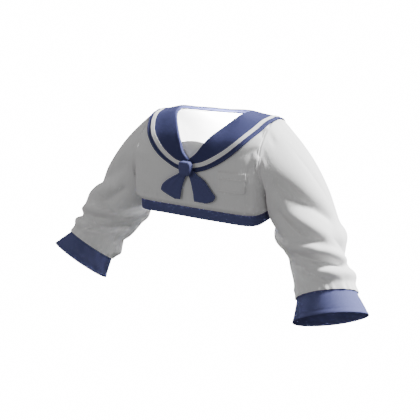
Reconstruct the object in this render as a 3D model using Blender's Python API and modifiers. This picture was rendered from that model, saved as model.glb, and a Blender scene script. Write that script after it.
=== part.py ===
"""A cropped white sailor sweater with a navy collar, scarf, cuffs and hem band, in its worn form.

Metres, +Z up. The origin is the middle of the shoulder line. The garment faces -Y,
and +X is the wearer's left. Points on the body are named by two numbers: x, across,
and t, which runs from 0 at the front hem over 1 at the shoulder line to 2 at the back hem.
"""
import math

import bmesh
import bpy
import numpy as np

# Cloth
KNIT = 0.0018  # wall of the white knit
RIB = 0.0022  # wall of the navy bands and the collar
TAPE = 0.0010  # wall of the collar's white tape
SEAM_GAP = 0.0004  # between two pieces at a seam
MERGE = 0.0001

# Body: a row for each level of the section, from the hem up to the shoulder line
BODY_LEVELS = (
    # t, height, half_width, half_depth
    (0.000, -0.247, 0.1995, 0.1405),
    (0.045, -0.232, 0.2070, 0.1520),
    (0.232, -0.170, 0.2065, 0.1535),
    (0.414, -0.110, 0.2050, 0.1485),
    (0.583, -0.060, 0.2020, 0.1240),
    (0.740, -0.025, 0.2000, 0.0840),
    (0.870, -0.003, 0.1990, 0.0430),
    (1.000, 0.005, 0.2000, 0.0000),
)
SQUARENESS = 8.0  # power of the rounded section: 2 is an ellipse
SECTION_STEPS = 600
NECK_RISE = 0.001  # how far the shoulder line stands up beside the neck
NECK_SIDE = 0.110  # half the neck's width on the shoulder line
SHOULDER_FALL = 0.13  # slope of the shoulder line from the neck outwards
RISE_FROM = 0.45  # t where the shoulder's rise begins

# Neck opening, from the point of the V over the shoulder to the centre back
NECKLINE = (
    # x, t
    (0.000, 0.399),
    (0.020, 0.440),
    (0.033, 0.500),
    (0.046, 0.565),
    (0.062, 0.640),
    (0.082, 0.730),
    (0.102, 0.830),
    (0.113, 0.920),
    (0.118, 1.000),
    (0.115, 1.040),
    (0.105, 1.080),
    (0.087, 1.110),
    (0.061, 1.130),
    (0.031, 1.140),
    (0.000, 1.140),
)
V_POINT = 0.399
BACK_NECK = 0.860

# Armhole: a loop on the body's skin, round at the underarm
UNDERARM = 0.075
ARMHOLE_BEND = 0.35  # share of its height taken by the round underarm
ARMHOLE_FRONT = 0.86  # how far it reaches forward, as a share of the body's half depth
ARMHOLE_BACK = 0.64  # and how far back
ARMHOLE_MEETS = 0.75  # t from which the two grow alike, up to the shoulder line
BEND_STEPS = 5
ARMHOLE_MIDDLE = -0.11  # height of the middle of the armhole
SHARE_STEP = 0.05  # for slopes of the skin across and along the body
T_STEP = 0.01
SHOULDER_SEAM = 0.998  # t of each panel's top edge
FRONT_ROWS = (0.46, 0.52, 0.58, 0.64, 0.70, 0.76, 0.82, 0.88, 0.94, SHOULDER_SEAM)
BACK_ROWS = (0.46, 0.54, 0.62, 0.70, 0.78, BACK_NECK, 0.872, 0.90, 0.945, SHOULDER_SEAM)
HEM_ROWS = (0.0, 0.022, 0.045)
PANEL_COLUMNS = 10

# Hem band
HEM_TOP = -0.2425
HEM_LOW = -0.279
HEM_HALF_WIDTH = 0.1962
HEM_HALF_DEPTH = 0.1372
HEM_STEPS = 56

# Sleeve: a row for each station of its centre line, for the wearer's left
ARM_STATIONS = (
    # along, x, y, z, radius, depth, slant
    (0.00, 0.195, 0.000, -0.115, 0.100, 0.110, 0.00),
    (0.22, 0.242, -0.016, -0.163, 0.088, 0.106, 0.00),
    (0.44, 0.289, -0.034, -0.248, 0.089, 0.094, 0.04),
    (0.65, 0.336, -0.057, -0.330, 0.085, 0.086, 0.08),
    (0.84, 0.368, -0.085, -0.394, 0.078, 0.077, 0.06),
    (1.00, 0.397, -0.114, -0.441, 0.0825, 0.0745, 0.00),
)
ARM_LENGTH = 0.40  # for distances along the sleeve
AXIS_STEP = 0.04  # for the direction of the centre line
CUFF_TURN = 0.75  # along, where the sleeve begins to turn square to its cuff
SLANT_TO = math.radians(45)  # the way that a slanted section is longest, between its top and its front
SLEEVE_RINGS = 27
FIRST_RING = 0.05  # along, where the rings of the table begin
SEAM_RUN = 0.006  # how far the sleeve goes on along the body's skin before it turns
BODY_CLEAR = 0.2110  # nothing of a hanging sleeve is nearer the middle than this
CLEAR_FROM = -0.06  # from this height down, fully so after the next value
CLEAR_OVER = 0.06
LEAVES_BODY = 0.42  # along, where the sleeve's section has become its own

# Cuff, a flared band: a row for each ring
CUFF_AXIS = (0.34, -0.54, -0.77)
CUFF_ROWS = (
    # along, half_width, half_depth
    (-0.005, 0.0785, 0.0700),
    (0.002, 0.0790, 0.0705),
    (0.020, 0.0850, 0.0735),
    (0.042, 0.0930, 0.0770),
    (0.062, 0.1005, 0.0800),
)

# Folds of a sleeve, each a soft ridge or trough between two places on it.
# Along is 0 at the armhole and 1 at the cuff. Round is in degrees: 0 is the outer top,
# 90 the front, 180 the underside and 270 the back.
SLEEVE_FOLDS = (
    # from_along, from_round, to_along, to_round, height, width
    (0.27, 92, 0.40, 58, -0.012, 0.021),
    (0.40, 58, 0.53, 22, -0.012, 0.018),
    (0.43, 92, 0.62, 44, 0.006, 0.018),
    (0.41, 106, 0.575, 82, -0.009, 0.014),
    (0.63, 102, 0.70, 70, 0.011, 0.014),
    (0.70, 70, 0.80, 14, 0.010, 0.015),
    (0.70, 102, 0.84, 28, -0.010, 0.014),
    (0.90, 78, 0.89, -40, 0.009, 0.014),
    (0.76, 112, 0.94, 64, -0.005, 0.012),
    (0.62, 114, 0.47, 188, 0.008, 0.017),
    (0.56, 125, 0.40, 190, -0.006, 0.016),
    (0.78, 112, 0.68, 165, -0.007, 0.015),
    (0.66, 5, 0.60, -45, 0.007, 0.018),
    (0.77, -10, 0.73, -70, -0.009, 0.015),
    (0.36, 250, 0.58, 300, -0.009, 0.020),
    (0.58, 215, 0.68, 285, 0.008, 0.018),
    (0.82, 190, 0.80, 265, -0.008, 0.016),
    (0.92, 175, 0.93, 245, 0.006, 0.016),
)
FOLD_RADIUS = 0.086  # the sleeve's radius, for distances round it
FOLDS_FROM = 0.1  # along, where folds begin, and how much further they are full
FOLDS_GROW = 0.2

# Collar: its outer edge, from the centre front over the shoulder to the centre back
COLLAR_EDGE = (
    # x, t
    (0.000, 0.305),
    (0.026, 0.326),
    (0.054, 0.352),
    (0.090, 0.410),
    (0.123, 0.485),
    (0.152, 0.583),
    (0.172, 0.695),
    (0.187, 0.825),
    (0.1965, 1.000),
    (0.191, 1.130),
    (0.185, 1.260),
    (0.180, 1.390),
    (0.177, 1.520),
    (0.175, 1.645),
    (0.131, 1.645),
    (0.087, 1.645),
    (0.043, 1.645),
    (0.000, 1.645),
)
COLLAR_SHOULDER = 8  # the row of that table on the shoulder line
BORDER = 0.012  # navy outside the tape
TAPE_WIDTH = 0.012
COLLAR_INNER_STEPS = 4
COLLAR_OVERHANG = 0.004  # how far the collar's roll stands inside the neck opening
COLLAR_LOW = 0.0068  # outer face above the body, at its edge
COLLAR_HIGH = 0.0110  # and at its roll
NECK_BAND_WIDTH = 0.014
NECK_BAND_FROM = 0.8  # t of its two ends
BEHIND = 0.0030  # outer face of what is sewn inside the neck, below the body's

# Chest insert, sewn behind the V
INSERT_BOTTOM = 0.33
INSERT_TOP = 0.585
INSERT_SIDE_TOP = 0.50
INSERT_HALF_WIDTH = 0.060
INSERT_STEPS = 5

# Scarf
KNOT_CENTRE = (0.0, -0.1734, -0.128)
KNOT_SIZE = (0.036, 0.018, 0.035)
KNOT_CAGE = 1.16  # how much larger its cage is than the knot
KNOT_CREASE = 0.35
KNOT_LEVELS = 2
TAIL_FACE = -0.1625  # y of the tails' outer face
TAIL_ROWS = (
    # drop, left_inner, left_outer, right_inner, right_outer, swell
    (-0.134, 0.002, 0.017, 0.002, 0.017, 0.000),
    (-0.146, 0.003, 0.028, 0.003, 0.032, 0.001),
    (-0.158, 0.008, 0.048, 0.008, 0.052, 0.003),
    (-0.172, 0.014, 0.069, 0.012, 0.064, 0.004),
    (-0.187, 0.019, 0.084, 0.015, 0.076, 0.004),
    (-0.200, 0.022, 0.088, 0.018, 0.086, 0.003),
    (-0.212, 0.024, 0.068, 0.019, 0.080, 0.002),
    (-0.221, 0.025, 0.044, 0.021, 0.062, 0.001),
)
TAIL_COLUMNS = 7
TAIL_CLOTH = 0.0022

# Chest pocket, on the wearer's left
POCKET_INNER = 0.088
POCKET_OUTER = 0.169
POCKET_TOP = -0.131
POCKET_LOW = -0.183
FLAP_LOW = -0.149
POCKET_COLUMNS = 8
POCKET_ROWS = 5
POCKET_CLOTH = 0.0014
POCKET_LIFT = 0.0022  # outer face above the panel
FLAP_LIFT = 0.0040
POCKET_CORNER = 0.006

# Colours, linear
WHITE = (0.80, 0.80, 0.80, 1.0)
NAVY = (0.125, 0.142, 0.315, 1.0)


def smooth(x, xs, ys):
    """A monotone cubic through the points, without overshoot."""
    xs, ys = np.asarray(xs, float), np.asarray(ys, float)
    step = np.diff(xs)
    rise = np.diff(ys) / step
    slope = np.zeros(len(xs))
    slope[0], slope[-1] = rise[0], rise[-1]
    for i in range(1, len(xs) - 1):
        if rise[i - 1] * rise[i] > 0:
            slope[i] = 2 / (1 / rise[i - 1] + 1 / rise[i])
    x = np.clip(x, xs[0], xs[-1])
    i = np.clip(np.searchsorted(xs, x, side="right") - 1, 0, len(step) - 1)
    h, s = step[i], (x - xs[i]) / step[i]
    return (
        ys[i] * (1 + 2 * s) * (1 - s) ** 2
        + h * slope[i] * s * (1 - s) ** 2
        + ys[i + 1] * s * s * (3 - 2 * s)
        + h * slope[i + 1] * s * s * (s - 1)
    )


def ease(s):
    """0 to 1, with a soft start and end."""
    s = np.clip(s, 0.0, 1.0)
    return s * s * (3 - 2 * s)


def unit(v):
    return v / np.linalg.norm(v, axis=-1, keepdims=True)


LEVELS = np.array(BODY_LEVELS)
BODY_RUN = float(np.sum(np.hypot(np.diff(LEVELS[:, 1]), np.diff(LEVELS[:, 3]))))  # skin per t


def level(t):
    """Height, half width, half depth and facing (-1 in front) at t."""
    up = 2 - t if t > 1 else t
    z, width, depth = (float(smooth(up, LEVELS[:, 0], LEVELS[:, k])) for k in (1, 2, 3))
    return z, width, depth, 1.0 if t > 1 else -1.0


def shoulder_rise(x, t):
    up = 2 - t if t > 1 else t
    rise = NECK_RISE - SHOULDER_FALL * np.maximum(0, np.abs(x) - NECK_SIDE)
    return rise * ease((up - RISE_FROM) / (1 - RISE_FROM))


ROUND = np.linspace(0, math.pi / 2, SECTION_STEPS)
SIDEWAYS = np.sin(ROUND) ** (2 / SQUARENESS)
DEEP = np.cos(ROUND) ** (2 / SQUARENESS)
DEEP[-1] = 0.0


def section(t):
    """Points of the body's half section at t, from the centre line round to the side."""
    z, width, depth, facing = level(t)
    x = width * SIDEWAYS
    return np.stack([x, facing * depth * DEEP, z + shoulder_rise(x, t)], 1)


def pick(points, keys, value):
    """The point of a polyline where its rising keys reach the value."""
    return np.array([np.interp(value, keys, points[:, k]) for k in range(3)])


def skin(x, t):
    """The body's outer face at x and t."""
    points = section(t)
    found = pick(points, points[:, 0], abs(x))
    found[0] = math.copysign(found[0], x)
    return found


def skin_normal(x, t, step=0.002):
    across = skin(x + step, t) - skin(x - step, t)
    along = skin(x, t + step) - skin(x, t - step)
    return unit(np.cross(across, along))


def raised(x, t, lift):
    return skin(x, t) + lift * skin_normal(x, t)


def at_depth(share, t):
    """The body's skin where its depth is this share of the half depth."""
    return pick(section(t), 1 - DEEP, 1 - share)


def t_of_height(z):
    """t on the front at a height, below the shoulder's rise."""
    return float(np.interp(z, LEVELS[:, 1], LEVELS[:, 0]))


def armhole_rows(upper):
    """(t, depth share) up one side of the armhole, from the underarm to the shoulder."""
    reach = ARMHOLE_FRONT if upper is FRONT_ROWS else ARMHOLE_BACK
    rows = []
    for k in range(BEND_STEPS + 1):
        bend = k / BEND_STEPS * math.pi / 2
        t = UNDERARM + (1 - UNDERARM) * ARMHOLE_BEND * (1 - math.cos(bend))
        rows.append((t, reach * math.sin(bend)))
    for t in upper:
        meets = ease((t - ARMHOLE_MEETS) / (1 - ARMHOLE_MEETS))
        rows.append((t, reach + (ARMHOLE_FRONT - reach) * meets))
    return rows


def neck_x(t):
    """Half the neck opening at t, from its table."""
    table = np.array(NECKLINE)
    shoulder = int(np.argmax(table[:, 1] >= 1.0))
    if t <= 1:
        return float(np.interp(t, table[: shoulder + 1, 1], table[: shoulder + 1, 0]))
    back = table[shoulder:-1]
    if t >= back[-1, 1]:
        return 0.0
    return float(np.interp(t, back[:, 1], back[:, 0]))


def new_object(name, mesh, material, collection):
    obj = bpy.data.objects.new(name, mesh)
    obj.data.materials.append(material)
    collection.objects.link(obj)
    return obj


def sheet(name, rows, closed=False, flip=False):
    """A mesh through rows of points, closed round each row if asked."""
    bm = bmesh.new()
    verts = [[bm.verts.new(p) for p in row] for row in rows]
    count = len(rows[0])
    for low, high in zip(verts[:-1], verts[1:]):
        for k in range(count if closed else count - 1):
            n = (k + 1) % count
            face = (low[k], low[n], high[n], high[k])
            if len(set(face)) == 4:
                bm.faces.new(face[::-1] if flip else face)
    bmesh.ops.remove_doubles(bm, verts=bm.verts, dist=1e-6)
    mesh = bpy.data.meshes.new(name)
    bm.to_mesh(mesh)
    bm.free()
    mesh.shade_smooth()
    return mesh


def wall(obj, thickness):
    """Gives an open surface its thickness, inwards from its outer face."""
    solid = obj.modifiers.new("wall", "SOLIDIFY")
    solid.thickness = thickness
    solid.offset = -1
    solid.use_quality_normals = True


def mirrored(obj):
    mirror = obj.modifiers.new("mirror", "MIRROR")
    mirror.merge_threshold = MERGE
    mirror.use_clip = True


def panel_rows(upper, back):
    """Rows of a half panel, from its centre line or neckline out to its side or armhole."""
    rows = []
    low = [(t, 0.0) for t in HEM_ROWS]
    for t, share in low + armhole_rows(upper):
        over = 2 - t if back and t < 1 else t
        points = section(over)
        length = np.concatenate([[0], np.cumsum(np.linalg.norm(np.diff(points, axis=0), axis=1))])
        open_to = neck_x(over) if t >= (BACK_NECK if back else V_POINT) else 0.0
        start = np.interp(open_to, points[:, 0], length)
        end = np.interp(1 - share, 1 - DEEP, length) - (0 if share else SEAM_GAP)
        places = start + (end - start) * np.linspace(0, 1, PANEL_COLUMNS + 1)
        rows.append([pick(points, length, place) for place in places])
    return rows


def panel(name, upper, back, material, collection):
    obj = new_object(name, sheet(name, panel_rows(upper, back), flip=back), material, collection)
    mirrored(obj)
    wall(obj, KNIT)
    return obj


def armhole_loop():
    """The armhole's points, and at each the way that the panels' skin would go on."""
    front = armhole_rows(FRONT_ROWS)
    back = [(2 - t, share) for t, share in armhole_rows(BACK_ROWS)]
    front[-1] = (1.0, ARMHOLE_FRONT)
    places = front[::-1] + back[1:-1]
    loop = np.array([at_depth(share, t) for t, share in places])
    tangent = unit(np.roll(loop, -1, axis=0) - np.roll(loop, 1, axis=0))
    onward = [unit(np.array([1.0, 0.0, -SHOULDER_FALL]))]
    for (t, share), point, along in zip(places[1:], loop[1:], tangent[1:]):
        normal = np.array([1.0, 0.0, 0.0])
        if share > 0:
            across = at_depth(max(share - SHARE_STEP, 0.0), t) - at_depth(share + SHARE_STEP, t)
            rise = at_depth(share, t + T_STEP) - at_depth(share, t - T_STEP)
            normal = unit(np.cross(across, rise))
        side = unit(np.cross(along, normal))
        into = np.array([NECK_SIDE, -point[1], ARMHOLE_MIDDLE - point[2]])
        onward.append(side if np.dot(side, into) > 0 else -side)
    return loop, np.array(onward)


def arm_station(along):
    table = np.array(ARM_STATIONS)
    return np.array([smooth(along, table[:, 0], table[:, k]) for k in range(1, 7)])


def arm_axis(along):
    after = arm_station(min(along + AXIS_STEP, 1.0))[:3]
    path = after - arm_station(max(along - AXIS_STEP, 0.0))[:3]
    turn = ease((along - CUFF_TURN) / (1 - CUFF_TURN))
    return unit((1 - turn) * unit(path) + turn * unit(np.array(CUFF_AXIS)))


def ring_frame(axis):
    """The outer-top and the front directions of a ring square to the axis."""
    front = np.array([0.0, -1.0, 0.0])
    front = unit(front - axis * np.dot(front, axis))
    return np.cross(front, axis), front


def fold_height(along, angle):
    """How far the folds move the sleeve's face outwards at a place on it."""
    total = 0.0
    for from_along, from_round, to_along, to_round, height, width in SLEEVE_FOLDS:
        start = np.array([from_along * ARM_LENGTH, math.radians(from_round) * FOLD_RADIUS])
        end = np.array([to_along * ARM_LENGTH, math.radians(to_round) * FOLD_RADIUS])
        for turn in (-2 * math.pi, 0.0, 2 * math.pi):
            place = np.array([along * ARM_LENGTH, (angle + turn) * FOLD_RADIUS])
            span = end - start
            share = np.clip(np.dot(place - start, span) / np.dot(span, span), 0, 1)
            away = np.linalg.norm(place - start - share * span)
            total += height * math.exp(-((away / width) ** 2))
    return total


def sleeve_rings():
    """Rings of the wearer's left sleeve, from the armhole to the cuff."""
    loop, onward = armhole_loop()
    count = len(loop)
    angles = 2 * math.pi * np.arange(count) / count
    rings = [loop + onward * SEAM_GAP, loop + onward * SEAM_RUN]
    start = np.array(ARM_STATIONS[0][1:4])
    for k in range(1, SLEEVE_RINGS):
        along = FIRST_RING + (1 - FIRST_RING) * k / (SLEEVE_RINGS - 1)
        x, y, z, radius, depth, slant = arm_station(along)
        centre = np.array([x, y, z])
        top, front = ring_frame(arm_axis(along))
        own = ease(along / LEAVES_BODY)
        folded = ease((along - FOLDS_FROM) / FOLDS_GROW)
        ring = []
        for point, out, angle in zip(loop, onward, angles):
            up, forward = math.cos(angle) * top, math.sin(angle) * front
            spread = 1 + slant * math.cos(2 * (angle - SLANT_TO))
            free = centre + spread * (radius * up + depth * forward)
            held = point + out * SEAM_RUN + (centre - start)
            place = (1 - own) * held + own * free
            place = place + (up + forward) * fold_height(along, angle) * folded
            hangs = ease((CLEAR_FROM - place[2]) / CLEAR_OVER)
            place[0] += hangs * max(0.0, BODY_CLEAR - place[0])
            ring.append(place)
        rings.append(np.array(ring))
    return rings


def handed(points, side):
    """Points of the wearer's left side, or mirrored to the right."""
    return [np.array(row) * np.array([side, 1, 1]) for row in points]


def sleeve(name, side, material, collection):
    mesh = sheet(name, handed(sleeve_rings(), side), closed=True, flip=side > 0)
    obj = new_object(name, mesh, material, collection)
    wall(obj, KNIT)
    return obj


def cuff(name, side, material, collection):
    centre = np.array(ARM_STATIONS[-1][1:4])
    axis = unit(np.array(CUFF_AXIS))
    top, front = ring_frame(axis)
    count = 2 * (BEND_STEPS + len(FRONT_ROWS))
    rings = []
    for along, half_width, half_depth in CUFF_ROWS:
        ring = []
        for k in range(count):
            angle = 2 * math.pi * k / count
            ring.append(
                centre
                + axis * along
                + half_width * math.cos(angle) * top
                + half_depth * math.sin(angle) * front
            )
        rings.append(ring)
    mesh = sheet(name, handed(rings, side), closed=True, flip=side > 0)
    obj = new_object(name, mesh, material, collection)
    wall(obj, RIB)
    return obj


def hem_band(name, material, collection):
    rings = []
    for z in (HEM_LOW, (HEM_LOW + HEM_TOP) / 2, HEM_TOP):
        ring = []
        for k in range(HEM_STEPS):
            angle = 2 * math.pi * k / HEM_STEPS
            x, y = math.sin(angle), -math.cos(angle)
            size = abs(x / HEM_HALF_WIDTH) ** SQUARENESS + abs(y / HEM_HALF_DEPTH) ** SQUARENESS
            reach = size ** (-1 / SQUARENESS)
            ring.append((x * reach, y * reach, z))
        rings.append(ring)
    obj = new_object(name, sheet(name, rings, closed=True), material, collection)
    wall(obj, RIB)
    return obj


def inset(outline, distance):
    """An outline in (x, t), moved inwards by a distance, with mitred corners."""
    flat = np.array([(x, t * BODY_RUN) for x, t in outline])
    first = flat[1] * [-1, 1]
    last = flat[-2] * [-1, 1]
    padded = np.vstack([first, flat, last])
    side = unit(np.diff(padded, axis=0))
    normal = np.stack([-side[:, 1], side[:, 0]], 1)
    before, after = normal[:-1], normal[1:]
    mitre = (before + after) / (1 + np.sum(before * after, axis=1, keepdims=True))
    moved = flat + distance * mitre
    moved[:, 0] = np.maximum(moved[:, 0], 0)
    return np.stack([moved[:, 0], moved[:, 1] / BODY_RUN], 1)


def resample(outline, places):
    """Points of an outline at shares of its length."""
    outline = np.array(outline)
    steps = np.hypot(np.diff(outline[:, 0]), np.diff(outline[:, 1]) * BODY_RUN)
    length = np.concatenate([[0], np.cumsum(steps)])
    return np.stack([np.interp(places * length[-1], length, outline[:, k]) for k in (0, 1)], 1)


def collar_roll():
    """The collar's inner edge, a point for each row of its outer edge."""
    shoulder = [x for x, t in NECKLINE].index(max(x for x, t in NECKLINE))
    neck = inset(NECKLINE, COLLAR_OVERHANG)
    front = resample(neck[: shoulder + 1], np.linspace(0, 1, COLLAR_SHOULDER + 1))
    rest = len(COLLAR_EDGE) - COLLAR_SHOULDER
    back = resample(neck[shoulder:], np.linspace(0, 1, rest))
    return np.vstack([front, back[1:]])


def collar_columns():
    """Columns of the half collar as (x, t) lists, from its outer edge to its roll."""
    edge = np.array(COLLAR_EDGE)
    columns = [edge, inset(COLLAR_EDGE, BORDER), inset(COLLAR_EDGE, BORDER + TAPE_WIDTH)]
    roll = collar_roll()
    for k in range(1, COLLAR_INNER_STEPS + 1):
        share = k / COLLAR_INNER_STEPS
        columns.append((1 - share) * columns[2] + share * roll)
    return columns


def collar_lift(share):
    return COLLAR_LOW + (COLLAR_HIGH - COLLAR_LOW) * share ** 2


def collar(name, material, collection):
    columns = collar_columns()
    last = len(columns) - 1
    rows = [
        [raised(x, t, collar_lift(k / last)) for x, t in column]
        for k, column in enumerate(columns)
    ]
    obj = new_object(name, sheet(name, rows), material, collection)
    mirrored(obj)
    wall(obj, RIB)
    return obj


def collar_tape(name, material, collection):
    columns = collar_columns()
    last = len(columns) - 1
    rows = [
        [raised(x, t, collar_lift(k / last) + SEAM_GAP + TAPE) for x, t in columns[k]]
        for k in (1, 2)
    ]
    obj = new_object(name, sheet(name, rows), material, collection)
    mirrored(obj)
    wall(obj, TAPE)
    return obj


def neck_band(name, material, collection):
    """The band inside the neck, from the front of one shoulder round the back to the other."""
    neck = [(x, t) for x, t in NECKLINE if t > NECK_BAND_FROM]
    rows = []
    for width in (0.0, NECK_BAND_WIDTH / 2, NECK_BAND_WIDTH):
        moved = inset(neck, -width) if width else np.array(neck)
        rows.append([raised(x, t, -BEHIND) for x, t in moved])
    obj = new_object(name, sheet(name, rows, flip=True), material, collection)
    mirrored(obj)
    wall(obj, KNIT)
    return obj


def chest_insert(name, material, collection):
    rows = []
    for share in np.linspace(0, 1, INSERT_STEPS + 1):
        row = []
        for x in np.linspace(0, INSERT_HALF_WIDTH, INSERT_STEPS + 1):
            arch = math.sqrt(1 - (x / INSERT_HALF_WIDTH) ** 2)
            top = INSERT_SIDE_TOP + (INSERT_TOP - INSERT_SIDE_TOP) * arch
            row.append(raised(x, INSERT_BOTTOM + (top - INSERT_BOTTOM) * share, -BEHIND))
        rows.append(row)
    obj = new_object(name, sheet(name, rows), material, collection)
    mirrored(obj)
    wall(obj, KNIT)
    return obj


def scarf_tail(name, side, material, collection):
    rows = []
    for drop, left_in, left_out, right_in, right_out, swell in TAIL_ROWS:
        inner, outer = (right_in, right_out) if side > 0 else (left_in, left_out)
        row = []
        for k in range(TAIL_COLUMNS + 1):
            share = k / TAIL_COLUMNS
            x = inner + (outer - inner) * share
            y = TAIL_FACE - swell * math.sin(share * math.pi)
            row.append((side * x, y, drop))
        rows.append(row)
    obj = new_object(name, sheet(name, rows, flip=side > 0), material, collection)
    wall(obj, TAIL_CLOTH)
    return obj


def scarf_knot(name, material, collection):
    bpy.ops.mesh.primitive_cube_add(size=1)
    obj = bpy.context.object
    obj.name = obj.data.name = name
    obj.location = KNOT_CENTRE
    for vert in obj.data.vertices:
        vert.co = [KNOT_CAGE * c * size for c, size in zip(vert.co, KNOT_SIZE)]
    obj.data.materials.append(material)
    for owner in obj.users_collection:
        owner.objects.unlink(obj)
    collection.objects.link(obj)
    crease = obj.data.attributes.new("crease_edge", "FLOAT", "EDGE")
    for edge in crease.data:
        edge.value = KNOT_CREASE
    soft = obj.modifiers.new("soft", "SUBSURF")
    soft.levels = soft.render_levels = KNOT_LEVELS
    return obj


def pocket_sheet(name, top, low, lift, material, collection):
    rows = []
    for j in range(POCKET_ROWS + 1):
        z = low + (top - low) * j / POCKET_ROWS
        cut = max(0.0, POCKET_CORNER - (z - low))
        inner, outer = POCKET_INNER + cut, POCKET_OUTER - cut
        row = [
            raised(inner + (outer - inner) * k / POCKET_COLUMNS, t_of_height(z), lift)
            for k in range(POCKET_COLUMNS + 1)
        ]
        rows.append(row)
    obj = new_object(name, sheet(name, rows, flip=True), material, collection)
    wall(obj, POCKET_CLOTH)
    return obj


def material(name, colour, roughness):
    made = bpy.data.materials.new(name)
    made.use_nodes = True
    shader = made.node_tree.nodes["Principled BSDF"]
    shader.inputs["Base Color"].default_value = colour
    shader.inputs["Roughness"].default_value = roughness
    shader.inputs["Metallic"].default_value = 0.0
    made.diffuse_color = colour
    return made


def main():
    for obj in list(bpy.data.objects):
        bpy.data.objects.remove(obj, do_unlink=True)
    garment = bpy.data.collections.new("sailor_sweater")
    bpy.context.scene.collection.children.link(garment)

    def white(name):
        return material(name + "_white", WHITE, 0.8)

    def navy(name):
        return material(name + "_navy", NAVY, 0.7)

    panel("front_panel", FRONT_ROWS, False, white("front_panel"), garment)
    panel("back_panel", BACK_ROWS, True, white("back_panel"), garment)
    for side, word in ((1, "left"), (-1, "right")):
        sleeve(f"sleeve_{word}", side, white(f"sleeve_{word}"), garment)
        cuff(f"cuff_{word}", side, navy(f"cuff_{word}"), garment)
        scarf_tail(f"scarf_tail_{word}", side, navy(f"scarf_tail_{word}"), garment)
    hem_band("hem_band", navy("hem_band"), garment)
    collar("collar", navy("collar"), garment)
    collar_tape("collar_tape", white("collar_tape"), garment)
    neck_band("neck_band", white("neck_band"), garment)
    chest_insert("chest_insert", white("chest_insert"), garment)
    scarf_knot("scarf_knot", navy("scarf_knot"), garment)
    pocket_sheet("pocket_patch", POCKET_TOP, POCKET_LOW, POCKET_LIFT, white("pocket_patch"), garment)
    pocket_sheet("pocket_flap", POCKET_TOP, FLAP_LOW, FLAP_LIFT, white("pocket_flap"), garment)


main()
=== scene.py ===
"""Looks for the sailor sweater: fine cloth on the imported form, with folds, weave and sewing.

Metres, +Z up, the garment faces -Y and +X is the wearer's left. Points on the body are
named by x, across, and t: 0 at the front hem, 1 on the shoulder line, 2 at the back hem.
"""

import math

import bpy
import numpy as np
from mathutils import Matrix, Vector


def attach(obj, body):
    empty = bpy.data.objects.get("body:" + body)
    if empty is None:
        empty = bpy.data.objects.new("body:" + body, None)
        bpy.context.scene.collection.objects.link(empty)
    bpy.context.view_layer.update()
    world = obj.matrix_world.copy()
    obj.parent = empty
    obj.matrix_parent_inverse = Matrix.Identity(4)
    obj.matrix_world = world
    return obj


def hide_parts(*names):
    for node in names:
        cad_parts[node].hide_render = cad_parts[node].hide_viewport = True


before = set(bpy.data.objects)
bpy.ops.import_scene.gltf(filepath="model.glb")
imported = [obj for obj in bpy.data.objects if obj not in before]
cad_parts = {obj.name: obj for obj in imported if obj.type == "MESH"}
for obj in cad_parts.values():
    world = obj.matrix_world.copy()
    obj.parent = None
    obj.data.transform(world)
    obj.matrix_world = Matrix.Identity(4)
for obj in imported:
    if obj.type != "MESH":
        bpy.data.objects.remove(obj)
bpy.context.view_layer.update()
TURN = 2 * math.pi

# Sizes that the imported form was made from
BODY_LEVELS = np.array((
    # t, height, half_width, half_depth
    (0.000, -0.247, 0.1995, 0.1405),
    (0.045, -0.232, 0.2070, 0.1520),
    (0.232, -0.170, 0.2065, 0.1535),
    (0.414, -0.110, 0.2050, 0.1485),
    (0.583, -0.060, 0.2020, 0.1240),
    (0.740, -0.025, 0.2000, 0.0840),
    (0.870, -0.003, 0.1990, 0.0430),
    (1.000, 0.005, 0.2000, 0.0000),
))
SQUARENESS = 8.0
NECK_RISE = 0.001
NECK_SIDE = 0.110
SHOULDER_FALL = 0.13
RISE_FROM = 0.45
NECKLINE = np.array((
    # x, t
    (0.000, 0.399),
    (0.020, 0.440),
    (0.033, 0.500),
    (0.046, 0.565),
    (0.062, 0.640),
    (0.082, 0.730),
    (0.102, 0.830),
    (0.113, 0.920),
    (0.118, 1.000),
    (0.115, 1.040),
    (0.105, 1.080),
    (0.087, 1.110),
    (0.061, 1.130),
    (0.031, 1.140),
    (0.000, 1.140),
))
NECK_SHOULDER = 8  # its row on the shoulder line
V_POINT = 0.399
BACK_NECK = 0.860
UNDERARM = 0.075
ARMHOLE_BEND = 0.35
ARMHOLE_FRONT = 0.86
ARMHOLE_BACK = 0.64
ARMHOLE_MEETS = 0.75
ARMHOLE_MIDDLE = -0.11
BEND_STEPS = 5
FRONT_ROWS = (0.46, 0.52, 0.58, 0.64, 0.70, 0.76, 0.82, 0.88, 0.94, 1.0)
BACK_ROWS = (0.46, 0.54, 0.62, 0.70, 0.78, BACK_NECK, 0.872, 0.90, 0.945, 1.0)
TOP_STEP = BEND_STEPS + len(FRONT_ROWS)  # steps up the armhole, to the shoulder line
SHOULDER_SEAM = 0.998
ARM_STATIONS = np.array((
    # along, x, y, z, radius, depth, slant
    (0.00, 0.195, 0.000, -0.115, 0.100, 0.110, 0.00),
    (0.22, 0.242, -0.016, -0.163, 0.088, 0.106, 0.00),
    (0.44, 0.289, -0.034, -0.248, 0.089, 0.094, 0.04),
    (0.65, 0.336, -0.057, -0.330, 0.085, 0.086, 0.08),
    (0.84, 0.368, -0.085, -0.394, 0.078, 0.077, 0.06),
    (1.00, 0.397, -0.114, -0.441, 0.0825, 0.0745, 0.00),
))
ARM_LENGTH = 0.40
AXIS_STEP = 0.04
CUFF_TURN = 0.75
SLANT_TO = math.radians(45)
SEAM_GAP = 0.0004  # between two pieces that are sewn together
SEAM_RUN = 0.006
BODY_CLEAR = 0.2110
CLEAR_FROM = -0.06
CLEAR_OVER = 0.06
LEAVES_BODY = 0.42
CUFF_AXIS = np.array((0.34, -0.54, -0.77))
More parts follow.
